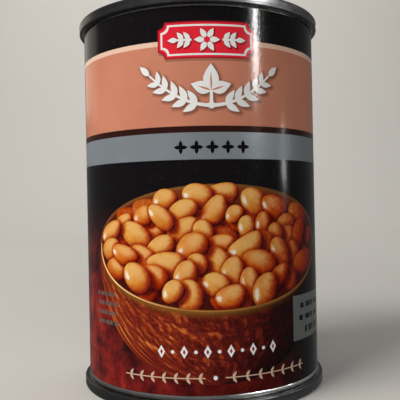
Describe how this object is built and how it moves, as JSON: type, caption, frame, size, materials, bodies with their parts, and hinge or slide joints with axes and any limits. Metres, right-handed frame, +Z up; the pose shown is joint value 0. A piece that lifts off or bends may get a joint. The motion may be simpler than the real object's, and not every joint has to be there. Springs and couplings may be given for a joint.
{
  "type": "shut food can with a paper label",
  "caption": "Shut cylindrical steel food can with double-seamed ends and a wrapped paper label, standing upright to hold cooked beans.",
  "frame": {"origin": "centre of the can's base, on the plane it stands on", "axes": "+Z up along the can's axis; the middle of the label's front faces -Y, and +X is to the viewer's right"},
  "size_m": [0.0762, 0.0762, 0.1127],
  "materials": {
    "body_steel": "bright tinplate",
    "end_steel": "dull grey tinplate with a fine circular grain",
    "label_paper": "glossy printed paper, mostly black"
  },
  "bodies": {
    "root": {"can_body": "body_steel", "label": "label_paper", "top_end": "end_steel", "bottom_end": "end_steel"}
  },
  "joints": []
}
